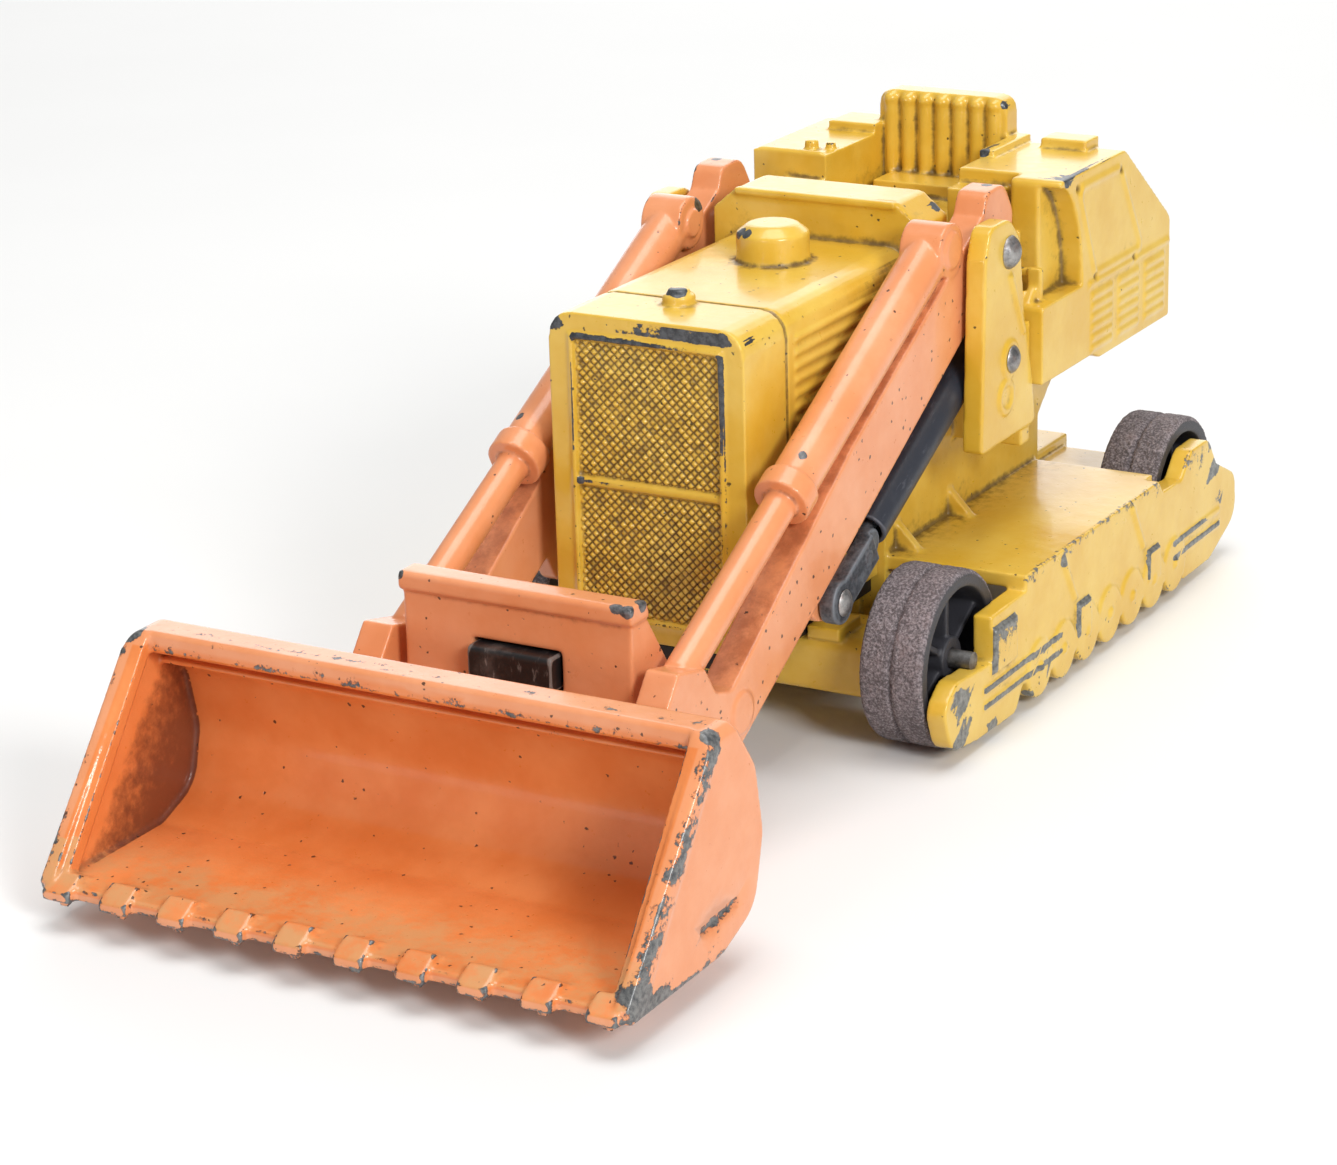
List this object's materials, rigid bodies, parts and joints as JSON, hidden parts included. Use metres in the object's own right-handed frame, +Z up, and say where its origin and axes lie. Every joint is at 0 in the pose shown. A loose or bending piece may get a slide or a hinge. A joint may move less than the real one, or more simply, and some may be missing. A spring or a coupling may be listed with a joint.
{
  "type": "toy loader",
  "caption": "Die-cast toy crawler loader with a lifting arm frame, a tipping bucket, telescoping lift cylinders and free-turning road wheels.",
  "frame": {"origin": "centre of the bounding box at the height the wheels stand on", "axes": "+Z up, -Y towards the bucket, X across the toy"},
  "size_m": [0.064, 0.1511, 0.057],
  "materials": {
    "yellow_body": "glossy faded yellow enamel, chipped to grey metal on the edges",
    "yellow_chassis": "glossy yellow enamel, chipped and grimy",
    "orange_arms": "glossy orange enamel, chipped at the ends",
    "orange_bucket": "glossy orange enamel, worn to metal on the rim",
    "base_black": "black moulded plastic",
    "catch_black": "black moulded plastic, scuffed",
    "cylinder_black": "semi-gloss black plastic, scuffed",
    "wheel_black": "black moulded wheel with a dusty worn tread",
    "axle_steel": "dull steel",
    "rivet_steel": "tarnished domed rivet heads",
    "link_grey": "dark grey stamped metal"
  },
  "bodies": {
    "root": {"upper_body": "yellow_body", "chassis": "yellow_chassis", "base_plate": "base_black", "base_rivets": "rivet_steel", "front_axle": "axle_steel", "rear_axle": "axle_steel", "arm_rivet_left": "rivet_steel", "arm_rivet_right": "rivet_steel", "cylinder_rivet_left": "rivet_steel", "cylinder_rivet_right": "rivet_steel"},
    "lift_arms": {"arm_left": "orange_arms", "arm_right": "orange_arms", "arm_crossbox": "orange_arms", "catch_spring": "axle_steel", "rod_rivet_left": "rivet_steel", "rod_rivet_right": "rivet_steel"},
    "catch": {"tilt_catch": "catch_black"},
    "bucket": {"bucket": "orange_bucket", "bucket_pin_left": "rivet_steel", "bucket_pin_right": "rivet_steel"},
    "wheel_front_left": {"wheel_front_left": "wheel_black"},
    "wheel_front_right": {"wheel_front_right": "wheel_black"},
    "wheel_rear_left": {"wheel_rear_left": "wheel_black"},
    "wheel_rear_right": {"wheel_rear_right": "wheel_black"},
    "cylinder_left": {"lift_cylinder_left": "cylinder_black"},
    "cylinder_right": {"lift_cylinder_right": "cylinder_black"},
    "rod_left": {"lift_rod_left": "link_grey"},
    "rod_right": {"lift_rod_right": "link_grey"}
  },
  "joints": [
    {"name": "arm_lift", "type": "hinge", "parent": "root", "child": "lift_arms", "pos_m": [0, 0.0274, 0.0467], "axis": [-1, 0, 0], "range_deg": [0, 45]},
    {"name": "bucket_tilt", "type": "hinge", "parent": "lift_arms", "child": "bucket", "pos_m": [0, -0.0434, 0.0065], "axis": [1, 0, 0], "range_deg": [-30, 60]},
    {"name": "catch_press", "type": "slide", "parent": "lift_arms", "child": "catch", "axis": [0, 1, 0], "range_m": [0, 0.0008], "stiffness_N_per_m": 400, "springref_m": -0.0005},
    {"name": "cylinder_left_pivot", "type": "hinge", "parent": "root", "child": "cylinder_left", "pos_m": [0, 0.0274, 0.035], "axis": [-1, 0, 0], "range_deg": [-0.5, 47]},
    {"name": "rod_left_pivot", "type": "hinge", "parent": "lift_arms", "child": "rod_left", "pos_m": [0, -0.0069, 0.0179], "axis": [-1, 0, 0], "range_deg": [-0.5, 2]},
    {"name": "cylinder_right_pivot", "type": "hinge", "parent": "root", "child": "cylinder_right", "pos_m": [0, 0.0274, 0.035], "axis": [-1, 0, 0], "range_deg": [-0.5, 47]},
    {"name": "rod_right_pivot", "type": "hinge", "parent": "lift_arms", "child": "rod_right", "pos_m": [0, -0.0069, 0.0179], "axis": [-1, 0, 0], "range_deg": [-0.5, 2]},
    {"name": "wheel_front_left_spin", "type": "hinge", "parent": "root", "child": "wheel_front_left", "pos_m": [0, 0.004, 0.0094], "axis": [1, 0, 0], "continuous": true},
    {"name": "wheel_front_right_spin", "type": "hinge", "parent": "root", "child": "wheel_front_right", "pos_m": [0, 0.004, 0.0094], "axis": [1, 0, 0], "continuous": true},
    {"name": "wheel_rear_left_spin", "type": "hinge", "parent": "root", "child": "wheel_rear_left", "pos_m": [0, 0.0647, 0.0094], "axis": [1, 0, 0], "continuous": true},
    {"name": "wheel_rear_right_spin", "type": "hinge", "parent": "root", "child": "wheel_rear_right", "pos_m": [0, 0.0647, 0.0094], "axis": [1, 0, 0], "continuous": true}
  ],
  "couplings": [
    {"joint": "cylinder_left_pivot", "follows": "arm_lift", "ratio": 1.03},
    {"joint": "rod_left_pivot", "follows": "arm_lift", "ratio": 0.03},
    {"joint": "cylinder_right_pivot", "follows": "arm_lift", "ratio": 1.03},
    {"joint": "rod_right_pivot", "follows": "arm_lift", "ratio": 0.03}
  ]
}
